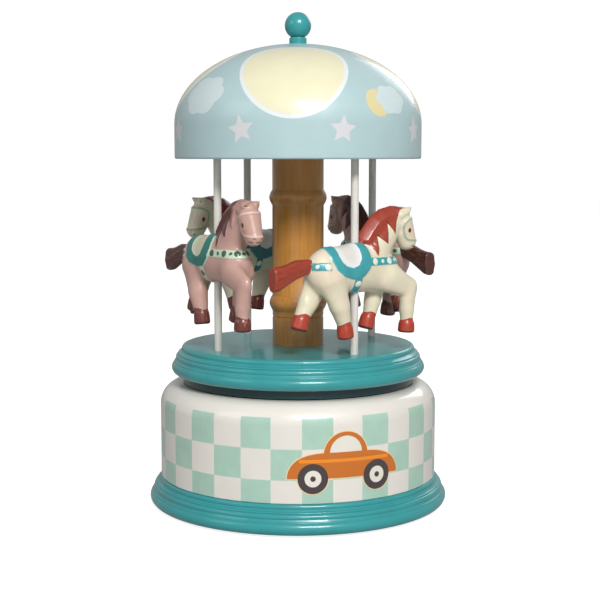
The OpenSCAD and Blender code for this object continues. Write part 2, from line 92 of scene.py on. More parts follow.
CAMERA_PLACE, CAMERA_PITCH = (0.0008, -0.5287, 0.1384), 6.19
CAMERA_LENS, CAMERA_SENSOR = 79.75, 36
LIGHT_AIM = (0, 0, 0.08)
SKY, SKY_SEEN, SKY_IN_GLOSS = 0.27, 0.77, 0.15


def make_camera():
    camera = placed("camera", bpy.data.cameras.new("camera"))
    camera.data.sensor_width = CAMERA_SENSOR
    camera.data.lens = CAMERA_LENS
    camera.location = CAMERA_PLACE
    camera.rotation_euler = (math.radians(90 - CAMERA_PITCH), 0, 0)
    bpy.context.scene.camera = camera


def area_light(name, location, size, power, colour=(1, 1, 1)):
    data = bpy.data.lights.new(name, "AREA")
    data.shape = "RECTANGLE"
    data.size, data.size_y = size
    data.energy = power
    data.color = colour
    lamp = placed(name, data)
    lamp.location = location
    lamp.rotation_euler = (Vector(LIGHT_AIM) - Vector(location)).to_track_quat("-Z", "Y").to_euler()


def make_lights():
    area_light("key", (0.22, -0.91, 0.76), (0.40, 0.22), 11.6, (1, 0.985, 0.96))
    area_light("left", (-0.75, -0.45, 0.55), (0.40, 0.40), 0.9)
    area_light("front", (0.05, -0.95, 0.22), (0.70, 0.30), 0.2)
    area_light("back", (0.45, 0.80, 0.55), (0.40, 0.40), 1.2)


def make_world():
    """White behind the object, a soft dim light on it, and a brighter white in its gloss."""
    world = bpy.data.worlds.new("studio")
    world.use_nodes = True
    bpy.context.scene.world = world
    nodes, links = world.node_tree.nodes, world.node_tree.links
    background = nodes["Background"]
    background.inputs["Color"].default_value = (1, 1, 1, 1)
    path = nodes.new("ShaderNodeLightPath")
    strength = None
    for ray, share in (("Is Camera Ray", SKY_SEEN), ("Is Glossy Ray", SKY_IN_GLOSS)):
        step = nodes.new("ShaderNodeMath")
        step.operation = "MULTIPLY_ADD"
        step.inputs[1].default_value = share
        step.inputs[2].default_value = SKY
        links.new(path.outputs[ray], step.inputs[0])
        if strength:
            links.new(strength, step.inputs[2])
        strength = step.outputs[0]
    links.new(strength, background.inputs["Strength"])


def make_floor():
    size, glow = 4.0, 0.86
    mesh = bpy.data.meshes.new("floor")
    corners = [(x * size, y * size, 0) for x, y in ((-1, -1), (1, -1), (1, 1), (-1, 1))]
    mesh.from_pydata(corners, [], [(0, 1, 2, 3)])
    floor = placed("floor", mesh)
    shader = Shader("floor", roughness=0.9, specular_ior_level=0.1)
    grain = shader.noise(4.0, detail=2)
    shader.set("Base Color", shader.mix(grain, (0.50, 0.50, 0.50, 1), (0.54, 0.54, 0.54, 1)))
    shader.set("Emission Color", (1, 1, 1, 1))
    seen = shader.node("ShaderNodeLightPath").outputs["Is Camera Ray"]
    shader.set("Emission Strength", shader.math("MULTIPLY", seen, glow))
    mesh.materials.append(shader.material)


# ---- shader nodes ----

def rgb(red, green, blue):
    """An sRGB colour of 0 to 255, as the linear colour that a shader takes."""
    def linear(c):
        c /= 255
        return c / 12.92 if c <= 0.04045 else ((c + 0.055) / 1.055) ** 2.4
    return (linear(red), linear(green), linear(blue), 1)


class Shader:
    """One material's Principled shader, with short calls for the nodes in front of it.
    Positions are in millimetres."""

    def __init__(self, name, **constants):
        self.material = bpy.data.materials.new(name)
        self.material.use_nodes = True
        self.tree = self.material.node_tree
        self.bsdf = self.tree.nodes["Principled BSDF"]
        for key, value in constants.items():
            self.bsdf.inputs[key.replace("_", " ").title().replace("Ior", "IOR")].default_value = value
        self.normal = None

    def node(self, kind, inputs=(), **settings):
        node = self.tree.nodes.new(kind)
        for key, value in settings.items():
            setattr(node, key, value)
        for key, value in dict(inputs).items():
            self.feed(node.inputs[key], value)
        return node

    def feed(self, socket, value):
        if isinstance(value, bpy.types.NodeSocket):
            self.tree.links.new(value, socket)
        elif value is not None:
            socket.default_value = value

    def set(self, name, value):
        self.feed(self.bsdf.inputs[name], value)

    def scaled(self, vector, factor):
        inputs = {0: vector, "Scale": factor}
        return self.node("ShaderNodeVectorMath", inputs, operation="SCALE").outputs[0]

    def position(self):
        """The point on the surface, in millimetres."""
        return self.scaled(self.node("ShaderNodeTexCoord").outputs["Object"], 1 / MM)

    def axes(self):
        return self.node("ShaderNodeSeparateXYZ", {0: self.position()}).outputs

    def stretched(self, x, y, z):
        inputs = {0: self.position(), 1: (x, y, z)}
        return self.node("ShaderNodeVectorMath", inputs, operation="MULTIPLY").outputs[0]

    def math(self, operation, a, b=None, c=None):
        return self.node("ShaderNodeMath", {0: a, 1: b, 2: c}, operation=operation).outputs[0]

    def ramp(self, value, low, high, to_low=0.0, to_high=1.0, kind="SMOOTHSTEP"):
        """value from low to high becomes to_low to to_high."""
        inputs = {"Value": value, "From Min": low, "From Max": high, "To Min": to_low, "To Max": to_high}
        return self.node("ShaderNodeMapRange", inputs, interpolation_type=kind).outputs[0]

    def mix(self, factor, a, b, blend="MIX"):
        node = self.node("ShaderNodeMix", data_type="RGBA", blend_type=blend)
        self.feed(node.inputs[0], factor)
        self.feed(node.inputs[6], a)
        self.feed(node.inputs[7], b)
        return node.outputs[2]

    def noise(self, size, detail=3, vector=None, roughness=0.5, distortion=0.0):
        """Noise whose blotches are about size millimetres."""
        inputs = {"Vector": vector or self.position(), "Scale": 1 / size, "Detail": detail,
                  "Roughness": roughness, "Distortion": distortion}
        return self.node("ShaderNodeTexNoise", inputs).outputs[0]

    def attribute(self, name):
        return self.node("ShaderNodeAttribute", attribute_name=name).outputs["Fac"]

    def inside(self, distance, soft=0.07):
        """1 where a signed distance in millimetres is negative, with a soft edge."""
        return self.ramp(distance, -soft, soft, 1.0, 0.0)

    def bump(self, height, depth, strength=1.0):
        """Adds a height from 0 to 1, that stands for depth millimetres."""
        inputs = {"Height": height, "Distance": depth * MM, "Strength": strength, "Normal": self.normal}
        self.normal = self.node("ShaderNodeBump", inputs).outputs[0]
        self.set("Normal", self.normal)

    def vary(self, colour, size, amount, detail=3):
        """A colour whose lightness drifts by amount either way."""
        drift = self.ramp(self.noise(size, detail), 0.3, 0.7, 1 - amount, 1 + amount, "LINEAR")
        base = colour if isinstance(colour, bpy.types.NodeSocket) else colour[:3]
        return self.scaled(base, drift)

    def polish(self, low, high, size=12.0):
        """Roughness that drifts slowly between low and high."""
        self.set("Roughness", self.ramp(self.noise(size, 1), 0.3, 0.7, low, high, "LINEAR"))


def teal_paint():
    """Teal gloss paint, with a painted shade on the turntable's neck: dark under the moulding."""
    shader = Shader("teal_gloss_paint", roughness=0.3, coat_weight=0.35, coat_roughness=0.06,
                    specular_ior_level=0.4)
    # painted shade: the neck under the turntable's moulding is painted near-black teal
    z, foot = shader.axes()[2], NECK_Z + NECK_H
    shaded = shader.math("MULTIPLY", shader.ramp(z, foot - 0.05, foot + 0.1, 1.0, 0.0),
                         shader.ramp(z, NECK_Z - 1, NECK_Z))
    shader.set("Base Color", shader.mix(shaded, shader.vary(rgb(50, 148, 152), 9, 0.05), rgb(6, 52, 56)))
    shader.bump(shader.noise(12, 2), 0.03, 0.5)
    return shader.material


CHECK_COUNT = 30
CHECK_START = 1.6
CHECK_ROWS = (20.8, 32.3, 43.9)


def drum_paint():
    """White gloss paint with three rows of mint checks, printed all round."""
    soft = 0.12
    shader = Shader("white_paint_with_mint_checks", roughness=0.32, coat_weight=0.6, coat_roughness=0.06)
    x, y, z = shader.axes()
    waver = shader.ramp(shader.noise(1.2, 2), 0.0, 1.0, -0.05, 0.05, "LINEAR")
    angle = shader.math("ARCTAN2", x, shader.math("MULTIPLY", y, -1.0))
    turn = shader.math("MULTIPLY", shader.math("SUBTRACT", angle, math.radians(CHECK_START)),
                       CHECK_COUNT / math.tau)
    # distance round the drum to the nearest edge of a check, positive in every second check
    phase = shader.math("PINGPONG", shader.math("ADD", turn, 0.5), 1.0)
    edge = shader.math("MULTIPLY", shader.math("SUBTRACT", phase, 0.5), math.tau * DRUM_R / CHECK_COUNT)
    columns = shader.ramp(shader.math("ADD", edge, waver), -soft, soft)
    flat_z = shader.math("ADD", z, waver)
    rows = None
    for height in CHECK_ROWS:
        step = shader.ramp(flat_z, height - soft, height + soft)
        rows = step if rows is None else shader.math("ABSOLUTE", shader.math("SUBTRACT", rows, step))
    # rows flips at each row line, so columns and rows differ where a check is mint
    check = shader.math("ABSOLUTE", shader.math("SUBTRACT", columns, rows))
    top = shader.ramp(flat_z, CHECK_ROWS[-1] - soft, CHECK_ROWS[-1] + soft, 1.0, 0.0)
    outside = shader.ramp(shader.math("ADD", shader.math("MULTIPLY", x, x), shader.math("MULTIPLY", y, y)),
                          (DRUM_R - 1) ** 2 - 1, (DRUM_R - 1) ** 2 + 1)
    check = shader.math("MULTIPLY", shader.math("MULTIPLY", check, top), outside)
    white = shader.vary(rgb(226, 222, 215), 14, 0.02)
    mint = shader.vary(rgb(168, 202, 186), 5, 0.04)
    shader.set("Base Color", shader.mix(check, white, mint))
    shader.bump(check, 0.015)
    return shader.material


def canopy_paint():
    shader = Shader("pale_blue_satin_paint", roughness=0.42, coat_weight=0.35, coat_roughness=0.15)
    shader.set("Base Color", shader.vary(rgb(170, 196, 200), 12, 0.03))
    shader.bump(shader.noise(12, 2), 0.06, 0.5)
    return shader.material


def varnish():
    """Turned wood under orange-brown varnish, with upright grain and faint turning rings."""
    shader = Shader("varnished_wood", coat_weight=0.6, coat_roughness=0.12)
    grain = shader.noise(1.0, 5, shader.stretched(1.1, 1.1, 0.06), 0.6, 0.4)
    fibre = shader.noise(0.25, 2, shader.stretched(1, 1, 0.04))
    blotch = shader.noise(14, 3, shader.stretched(1, 1, 0.5))
    wood = shader.mix(shader.ramp(grain, 0.35, 0.72), rgb(206, 146, 72), rgb(190, 128, 56))
    wood = shader.mix(shader.ramp(blotch, 0.35, 0.7, 0.0, 0.5), wood, rgb(178, 116, 52))
    wood = shader.mix(shader.ramp(fibre, 0.55, 0.8, 0.0, 0.2), wood, rgb(130, 80, 32))
    shader.set("Base Color", wood)
    shader.polish(0.3, 0.42)
    z = shader.axes()[2]
    rings = shader.noise(0.5, 2, shader.node("ShaderNodeCombineXYZ", {2: z}).outputs[0])
    shader.bump(rings, 0.03, 0.6)
    shader.bump(grain, 0.03, 0.5)
    return shader.material


def pole_paint():
    """White paint brushed along a dowel."""
    shader = Shader("white_brushed_paint", coat_weight=0.3, coat_roughness=0.15)
    brush = shader.noise(0.4, 3, shader.stretched(1, 1, 0.05))
    streaks = shader.ramp(brush, 0.4, 0.75)
    shader.set("Base Color", shader.mix(streaks, rgb(218, 216, 210), rgb(200, 197, 190)))
    shader.polish(0.35, 0.5)
    shader.bump(brush, 0.04, 0.6)
    return shader.material


def pad_foam():
    shader = Shader("foam_rubber", specular_ior_level=0.2)
    cells = shader.node("ShaderNodeTexVoronoi", {"Vector": shader.position(), "Scale": 1 / 0.5}).outputs[0]
    shader.set("Base Color", shader.mix(cells, rgb(62, 66, 66), rgb(38, 41, 41)))
    shader.set("Roughness", 0.95)
    shader.bump(cells, 0.15)
    return shader.material


def metal(name, colour, low, high, stretch=(1, 1, 1), size=0.4, depth=0.01):
    """Bare metal with fine marks drawn out along an axis."""
    shader = Shader(name, metallic=1.0)
    marks = shader.noise(size, 4, shader.stretched(*stretch), 0.65)
    shader.set("Base Color", shader.vary(colour, 5, 0.06))
    shader.set("Roughness", shader.ramp(marks, 0.3, 0.7, low, high, "LINEAR"))
    shader.bump(marks, depth, 0.5)
    return shader.material


def nylon():
    shader = Shader("natural_nylon")
    shader.set("Base Color", shader.vary(rgb(236, 232, 218), 3, 0.03))
    shader.polish(0.35, 0.5, 1.0)
    shader.bump(shader.noise(0.3, 2), 0.01)
    return shader.material


# ---- meshes ----

def new_piece(name, vertices, faces, body, materials, indices=None, smooth_deg=35):
    """A piece from points in millimetres, that rides on a body."""
    mesh = bpy.data.meshes.new(name)
    mesh.from_pydata(np.asarray(vertices, float) * MM, [], faces)
    for material in materials:
        mesh.materials.append(material)
    if indices is not None:
        mesh.polygons.foreach_set("material_index", indices)
    mesh.shade_smooth()
    mesh.set_sharp_from_angle(angle=math.radians(smooth_deg))
    mesh.validate()
    piece = placed(name, mesh)
    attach(piece, body)
    return piece


def arc(r, z, radius, start, end, steps=24):
    """Points of an arc round (r, z); angles in degrees."""
    turns = np.radians(np.linspace(start, end, steps + 1))
    return [(r + radius * math.cos(a), z + radius * math.sin(a)) for a in turns]


def lathe(profile, segments=288):
    """Vertices and faces of a closed (r, z) outline turned round Z.
    It runs anticlockwise: out, up and back in."""
    turns = np.arange(segments) * math.tau / segments
    vertices, rings = [], []
    for r, z in profile:
        start = len(vertices)
        if r < 1e-6:
            vertices.append((0, 0, z))
            rings.append([start] * segments)
        else:
            vertices += [(r * math.cos(a), r * math.sin(a), z) for a in turns]
            rings.append(list(range(start, start + segments)))
    faces = []
    for low, high in zip(rings, rings[1:] + rings[:1]):
        for i in range(segments):
            k = (i + 1) % segments
            face = [low[i], low[k], high[k], high[i]]
            face = [v for n, v in enumerate(face) if v not in face[:n]]
            if len(face) > 2:
                faces.append(face)
    return vertices, faces


def moulding(r, z, h):
    """The turntable's and the base's moulded edge: a bold round, a bead, a second round and a shoulder."""
    return ([(r + 1.1, z), (r + 1.5, z + 0.15)]
            + arc(r + 1.9, z + 2.5, 2.6, -62, 42, 40)
            + arc(r + 3.0, z + 4.75, 0.5, -20, 80, 10)
            + arc(r + 1.55, z + 6.5, 1.3, -28, 58, 24)
            + arc(r + 1.6, z + 8.0, 0.4, -40, 80, 8)
            + [(r + 0.85, z + h - 2.5)]
            + arc(r - 0.9, z + h - 1.4, 1.4, -22, 90, 20))


def turned(name, node, profile, body, material):
    vertices, faces = lathe(profile)
    piece = new_piece(name, vertices, faces, body, [material])
    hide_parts(node)
    return piece


# ---- turned pieces ----

def base_disc_outline():
    """The base disc, with the recess for the key and the key's hole."""
    recess_r, hole_r, floor_h = 26, 3.4, 3
    recess_top = DRUM_Z - floor_h
    return ([(recess_r, BASE_Z), (BASE_R + 0.9, BASE_Z)] + moulding(BASE_R, BASE_Z, DRUM_Z - BASE_Z)
            + [(hole_r, DRUM_Z), (hole_r, recess_top), (recess_r - 0.6, recess_top),
               (recess_r, recess_top - 0.6)])


def drum_outline():
    """The drum's wall, shoulder and top, hollow inside, with the bush's hole in the top."""
    wall, ceiling, shoulder, bush_r = 6, 5, 8, 4.05
    inner_r, inner_top, inner_round = DRUM_R - wall, DRUM_TOP - ceiling, shoulder - 4
    return ([(inner_r, DRUM_Z), (DRUM_R - 0.3, DRUM_Z), (DRUM_R, DRUM_Z + 0.3)]
            + [(DRUM_R, z) for z in np.linspace(DRUM_Z + 2, DRUM_TOP - shoulder - 0.5, 12)]
            + arc(DRUM_R - shoulder, DRUM_TOP - shoulder, shoulder, 0, 90, 40)
            + [(bush_r + 0.2, DRUM_TOP), (bush_r, DRUM_TOP - 0.2), (bush_r, inner_top)]
            + arc(inner_r - inner_round, inner_top - inner_round, inner_round, 90, 0, 12))


def turntable_outline():
    """The turntable, with its neck and the recess for the hub."""
    hub_r, hub_recess, spindle_r, spindle_recess = 10.2, 2.8, 4.05, 7.3
    foot = NECK_Z + NECK_H
    top = moulding(TABLE_R, foot, TABLE_TOP - foot)
    return ([(hub_r, NECK_Z), (TABLE_R, NECK_Z), (TABLE_R, foot - 0.3), (TABLE_R + 0.3, foot)] + top
            + [(0, TABLE_TOP), (0, NECK_Z + spindle_recess), (spindle_r, NECK_Z + spindle_recess),
               (spindle_r, NECK_Z + hub_recess), (hub_r, NECK_Z + hub_recess)])


def dome_arc(radius, height, steps, start=0, end=90):
    """Points of an elliptic dome on top of the fascia, from angle start to angle end."""
    turns = np.radians(np.linspace(start, end, steps + 1))
    return [(radius * math.cos(a), DOME_Z + height * math.sin(a)) for a in turns]


def canopy_outline():
    """The canopy's fascia and dome, hollow inside, with the finial's hole on top."""
    wall, edge, hole_r = 6, 0.8, 2.05
    inner_r, inner_h = CANOPY_R - wall, DOME_H - wall
    hole_deg = math.degrees(math.acos(hole_r / CANOPY_R))
    inner_deg = math.degrees(math.acos(hole_r / inner_r))
    return ([(inner_r, CANOPY_Z)] + arc(CANOPY_R - edge, CANOPY_Z + edge, edge, -90, 0, 12)
            + [(CANOPY_R, z) for z in np.linspace(CANOPY_Z + 2, DOME_Z - 1, 6)]
            + dome_arc(CANOPY_R, DOME_H, 96, 0, hole_deg)
            + dome_arc(inner_r, inner_h, 40, inner_deg, 0))


def column_outline():
    """The column, its two beads, the fine groove under the lower one, and its tenons."""
    bead_rise, bead_half, beads, groove_z, groove = 1.2, 3.1, (16.5, 58.4), 11.1, 0.35
    low, high = box_mm("column")
    radius, tenon_r = high[0] - bead_rise, 4
    swells = [[(radius + bead_rise * math.cos(math.pi / 2 * t), TABLE_TOP + z + bead_half * t)
               for t in np.linspace(-1, 1, 41)] for z in beads]
    z = TABLE_TOP + groove_z
    cut = [(radius - groove * math.cos(math.pi / 2 * t), z + 0.4 * t) for t in np.linspace(-1, 1, 9)]
    return ([(0, low[2]), (tenon_r, low[2]), (tenon_r, TABLE_TOP), (radius, TABLE_TOP)]
            + [(radius, z - 2)] + cut + swells[0] + swells[1]
            + [(radius, CANOPY_Z), (tenon_r, CANOPY_Z), (tenon_r, high[2]), (0, high[2])])


def finial_outline():
    """A ball on a collar, with its tenon in the dome."""
    tenon_r, collar_r, collar_h = 2, 3.4, 2.6
    ball_r = box_mm("finial")[1][0]
    ball_z = FINIAL_TOP - ball_r
    neck_deg = math.degrees(math.asin((DOME_TOP + collar_h - ball_z) / ball_r))
    foot, seat = DOME_TOP - 6, DOME_TOP - 0.2
    return ([(0, foot), (tenon_r, foot), (tenon_r, seat), (collar_r, seat)]
            + arc(collar_r - 0.6, DOME_TOP + collar_h - 0.6, 0.6, 0, 90, 8)
            + arc(0, ball_z, ball_r, neck_deg, 90, 48))


def bored(piece, holes):
    """Takes upright cylinders out of a piece; each hole is (x, y, radius, bottom, top)."""
    before = piece.data
    cutters = []
    for x, y, radius, bottom, top in holes:
        outline = [(0, bottom), (radius, bottom), (radius, top), (0, top)]
        vertices, faces = lathe(outline, 48)
        mesh = bpy.data.meshes.new("hole")
        mesh.from_pydata((np.array(vertices) + (x, y, 0)) * MM, [], faces)
        cutter = placed("hole", mesh)
        cutters.append(cutter)
        cut = piece.modifiers.new("hole", "BOOLEAN")
        cut.operation, cut.object, cut.solver = "DIFFERENCE", cutter, "EXACT"
    graph = bpy.context.evaluated_depsgraph_get()
    piece.data = bpy.data.meshes.new_from_object(piece.evaluated_get(graph))
    piece.modifiers.clear()
    for cutter in cutters:
        bpy.data.meshes.remove(cutter.data)
    bpy.data.meshes.remove(before)


def make_turned_pieces():
    turned("turned_drum", "drum", drum_outline(), "housing", DRUM_PAINT)
    base = turned("turned_base", "base_disc", base_disc_outline(), "housing", TEAL_PAINT)
    ring, head_r, head_h = DRUM_R - 3, 3.2, 3
    bored(base, [(ring * math.cos(a), ring * math.sin(a), head_r, BASE_Z - 1, BASE_Z + head_h)
                 for a in np.radians((45, 135, 225, 315))])
    turned("turned_table", "turntable", turntable_outline(), "carousel", TEAL_PAINT)
    turned("turned_column", "column", column_outline(), "carousel", VARNISH)
    turned("turned_canopy", "canopy", canopy_outline(), "carousel", CANOPY_PAINT)
    turned("turned_finial", "finial", finial_outline(), "carousel", TEAL_PAINT)


# ---- distance fields for the horse, in millimetres: u forward, v to its left, w up from the turntable ----

def smooth_min(a, b, blend):
    """The nearer of two fields, rounded where they are within blend of each other."""
    h = np.maximum(blend - np.abs(a - b), 0) / blend
    return np.minimum(a, b) - h ** 3 * blend / 6


def smooth_max(a, b, blend):
    return -smooth_min(-a, -b, blend)


def rise(x, low, high):
    """0 below low, 1 above high and a smooth step between; the other way round if low is the greater."""
    t = np.clip((x - low) / (high - low), 0, 1)
    return t * t * (3 - 2 * t)


def limb(p, stops, blend=1.0):
    """Distance to a chain of rounded stretches; each stop is (u, v, w, radius)."""
    field = None
    for start, end in zip(np.array(stops, float), np.array(stops[1:], float)):
        axis = end[:3] - start[:3]
        rel = p - start[:3]
        t = np.clip(rel @ axis / (axis @ axis), 0, 1)
        d = np.linalg.norm(rel - t[:, None] * axis, axis=1) - (start[3] + t * (end[3] - start[3]))
        field = d if field is None else smooth_min(field, d, blend)
    return field


def line_field(u, w, points):
    """Distance to an open line in the side view."""
    nearest = np.full(u.shape, 1e9)
    for (au, aw), (bu, bw) in zip(points, points[1:]):
        eu, ew = bu - au, bw - aw
        t = np.clip(((u - au) * eu + (w - aw) * ew) / (eu * eu + ew * ew), 0, 1)
        nearest = np.minimum(nearest, (u - au - t * eu) ** 2 + (w - aw - t * ew) ** 2)
    return np.sqrt(nearest)


def outline_field(u, w, points):
    """Signed distance to a closed outline in the side view, negative inside."""
    closed = points + points[:1]
    inside = np.zeros(u.shape, bool)
    for (au, aw), (bu, bw) in zip(closed, closed[1:]):
        if bw != aw:
            inside ^= ((aw > w) != (bw > w)) & (u < au + (bu - au) * (w - aw) / (bw - aw))
    return np.where(inside, -1, 1) * line_field(u, w, closed)


# ---- the horse ----

TORSO_FLAT, NECK_FLAT = 0.7, 0.8
LEG_SIDE = 3.3
POLE_BORE = 1.62
MANE = [(22.0, 55.0), (17, 55.9), (11.5, 54.7), (7.5, 52.2), (4.2, 48.6), (1.2, 44.6), (0.3, 42.2),
        (2.3, 40.4), (5.0, 38.0), (7.5, 35.3), (8.0, 40.2), (8.2, 45.6), (10.2, 43.4), (12.5, 41.6),
        (13.0, 46), (13.2, 50.6), (14.8, 47.8), (16.5, 45.1), (17.0, 49.4), (18.2, 53), (19.4, 54.4)]
MANE_CREST = 8
# the tail from its root to its blunt end: u, the top and the bottom there, and half its thickness
TAIL = [(-17, 36.2, 32.0, 1.8), (-22, 37.0, 31.3, 1.9), (-27, 36.8, 29.6, 2.0), (-31.5, 35.4, 27.4, 2.2),
        (-34.5, 34.9, 26.0, 2.4), (-38, 34.7, 25.4, 2.6)]
TAIL_END = -37.3
SEAT = [(-10.4, 48), (-10.6, 42), (-10.9, 40), (-10.7, 37.8), (-9.8, 35.8), (-8.0, 34.2), (-5.2, 33.4),
        (-2.6, 34.4), (-1.3, 37), (-1.1, 40), (-1.3, 42), (-1.4, 48)]
BORDER = [(-15.0, 48), (-15.0, 41.5), (-14.8, 39.4), (-14.2, 36.6), (-12.6, 33), (-9.6, 30.6),
          (-4.8, 29.2), (-0.2, 30), (2.6, 33), (3.6, 36.5), (3.2, 40), (2.0, 43), (1.6, 48)]
BRIDLE = [(27.5, 51.4), (23.6, 50.6), (21.2, 49.2), (20.9, 47.4), (21.2, 45.6), (21.9, 43.9),
          (22.9, 42.9), (25, 42.5), (31, 42.2)]
EYE = (23.6, 46.4)
# side of the body, the leg's stops (u, w, radius), and the hoof's upper and lower centre and radii
LEGS = [
    (-1, [(14.5, 28.5, 5.6), (23.3, 24.4, 3.9), (22.7, 16, 2.7), (22.7, 12, 2.5)],
     (22.8, 12.3, 2.9), (22.5, 7.1, 3.3)),
    (-1, [(-12.5, 29, 6.2), (-9.5, 19.8, 4.0), (-7.4, 13, 2.8)],
     (-7.2, 12.8, 2.9), (-6.4, 6.9, 3.2)),
    (1, [(-15, 28, 5.8), (-19.0, 20.8, 3.8), (-21.6, 16, 3.0)],
     (-21.7, 16.1, 3.0), (-23.4, 10.4, 3.3)),
    (1, [(13, 28, 5.4), (11.2, 20, 3.3), (9.8, 14.5, 2.6)],
     (9.5, 14.8, 2.8), (7.7, 8.9, 3.1)),
]


def hoof_field(p, side, top, bottom):
    """A round-shouldered boot that widens towards its flat sole."""
    start, end = (np.array([u, side * LEG_SIDE, w]) for u, w, _ in (top, bottom))
    reach = np.linalg.norm(end - start)
    along = (p - start) @ ((end - start) / reach)
    out = np.linalg.norm(p - start - along[:, None] * (end - start) / reach, axis=1)
    radius = top[2] + (bottom[2] - top[2]) * np.clip(along / reach, 0, 1) ** 0.7
    return smooth_max(smooth_max(out - radius, -along, 3.0), along - reach, 1.6), along


def leg_fields(p):
    """Distance to the legs and to the hooves, the signed distance of their paint, and that of a band at the
    foot of each hoof which takes a painted shadow.
    """
    legs, hooves, hoof_paint, sole_shadows = (np.full(len(p), 1e3) for _ in range(4))
    for side, stops, top, bottom in LEGS:
        flat = 1 - 0.38 * rise(p[:, 2], 15, 26)
        squeezed = np.stack([p[:, 0], side * LEG_SIDE + (p[:, 1] - side * LEG_SIDE) / flat, p[:, 2]], 1)
        leg = limb(squeezed, [(u, side * LEG_SIDE, w, r) for u, w, r in stops], 1.5)
        hoof, along = hoof_field(p, side, top, bottom)
        centre = np.array([(top[0] + bottom[0]) / 2, side * LEG_SIDE, (top[1] + bottom[1]) / 2])
        near = np.linalg.norm(p - centre, axis=1) - 7
        legs = np.minimum(legs, leg)
        hooves = np.minimum(hooves, hoof)
        arch = 1.3 * np.clip(1 - ((p[:, 0] - top[0]) / 3.0) ** 2, 0, 1)
        hoof_paint = np.minimum(hoof_paint, np.maximum(0.7 - arch - along, near))
        # painted shadow: a band 0.75 mm high at the foot of each hoof
        sole_shadows = np.minimum(sole_shadows, np.maximum(reach_of(top, bottom) - 0.75 - along, near))
    return legs, hooves, hoof_paint, sole_shadows


def reach_of(top, bottom):
    """Height of a hoof along its own axis."""
    return math.hypot(top[0] - bottom[0], top[1] - bottom[1])


def mane_fields(p, neck):
    """Distance to the mane and its outline in the side view. It has a ridge a little inside the outline."""
    u, w = p[:, 0], p[:, 2]
    ridge, half = 3.0, 3.3
    outline = outline_field(u, w, MANE)
    inward = line_field(u, w, MANE[:MANE_CREST])
    slope = half * np.clip(inward / ridge, 0, 1) ** 0.8
    plate = smooth_max((np.abs(p[:, 1]) - slope) / math.hypot(1, half / ridge), outline, 0.3)
    strands = 0.06 * np.sin(2.6 * (w + 0.8 * u) + 0.9 * np.sin(0.45 * u))
    lock = smooth_max(neck - 0.55 + strands * rise(-outline, 0.2, 1.2), outline, 0.35)
    return smooth_min(plate, lock, 0.9), outline


def tail_field(p):
    """A tail that grows thicker towards its blunt end, with shallow locks along it."""
    u, v, w = p.T
    along, top, bottom, thick = np.array(TAIL[::-1]).T
    top, bottom, thick = (np.interp(u, along, row) for row in (top, bottom, thick))
    middle, half = (top + bottom) / 2, (top - bottom) / 2
    across = (w - middle) / half
    shape = (np.abs(across) ** 2.4 + np.abs(v / thick) ** 2.4) ** (1 / 2.4)
    locks = 0.1 * np.cos(across * 2.6 * math.pi + 0.5 * np.sin(0.3 * u)) * rise(u, -20, -26)
    field = (shape - 1) * np.minimum(half, thick) - locks
    return smooth_max(smooth_max(field, TAIL_END - u, 0.9), u + 17, 1.0)


def horse_fields(p):
    """Every field of the horse at the points p."""
    u, v, w = p.T
    trunk = [(-13, 0, 32.2, 8.6), (0, 0, 32.9, 8.7), (12.0, 0, 30.7, 7.8)]
    torso = limb(p * (1, 1 / TORSO_FLAT, 1), trunk, 4)
    neck = limb(p * (1, 1 / NECK_FLAT, 1), [(9.2, 0, 38, 6.2), (18.3, 0, 49.3, 4.1)])
    legs, hooves, hoof_paint, sole_shadows = leg_fields(p)
    head = limb(p, [(22.7, 0, 49.2, 4.2), (25.9, 0, 41.9, 3.1)])
    head = smooth_min(head, limb(p, [(22.2, 0, 45.4, 3.2), (24.2, 0, 41.6, 2.8)]), 1.5)
    head = smooth_min(head, limb(p, [(19.5, 0, 52.6, 2.6), (22.6, 0, 52.0, 2.7)]), 1.0)
    mirrored = np.stack([u, np.abs(v), w], 1)
    ear = limb(mirrored, [(20.2, 1.9, 52.2, 2.1), (22.9, 2.3, 53.6, 1.45), (24.9, 2.4, 54.9, 0.5)])
    cup = np.linalg.norm(mirrored - (23.9, 2.7, 53.5), axis=1) - 0.5
    head = smooth_min(head, smooth_max(ear, -cup, 0.4), 0.9)
    nostril = np.linalg.norm(mirrored - (28.4, 1.7, 40.9), axis=1) - 0.7
    mouth = np.maximum(line_field(u, w, [(26.0, 40.2), (30.5, 39.8)]) - 0.2, 23.5 - u)
    head = smooth_max(smooth_max(head, -nostril, 0.6), -mouth, 0.4)
    body = smooth_min(torso, legs, 3.2)
    upper = smooth_min(neck, head, 1.6)
    body = smooth_min(body, upper, 4)
    mane, mane_outline = mane_fields(p, upper)
    return {"body": body, "mane": mane, "mane_outline": mane_outline, "tail": tail_field(p), "hooves": hooves,
            "hoof_paint": hoof_paint, "sole_shadows": sole_shadows}


def tack_zones(p, fields):
    """Signed distances of the painted tack, negative inside."""
    u, w = p[:, 0], p[:, 2]
    seat, cloth = outline_field(u, w, SEAT), outline_field(u, w, BORDER)
    rear = np.maximum(np.abs(w - 34.3) - 1.4, u + 15)
    front = np.maximum(np.abs(w - 35.3) - 1.45, 0.8 - u)
    girth = np.maximum(np.maximum(np.abs(u + 2.4) - 1.6, w - 30), 22.9 - w)
    straps = np.minimum(np.minimum(rear, front), girth)
    straps = np.maximum(straps, np.maximum(-fields["tail"] + 0.2, -cloth - 0.3))
    dots = np.full(len(p), 1e3)
    for centre, radius in DOTS:
        dots = np.minimum(dots, np.linalg.norm(p - centre, axis=1) - radius)
    bridle = line_field(u, w, BRIDLE) - 0.4
    bridle = np.maximum(bridle, 17 - u)
    eye = np.hypot((u - EYE[0]) / 0.72, (w - EYE[1]) / 0.95) - 1
    return {"seat": seat, "cloth": cloth, "border": np.maximum(cloth, -seat), "straps": straps, "dots": dots,
            "bridle": bridle, "eye": eye}


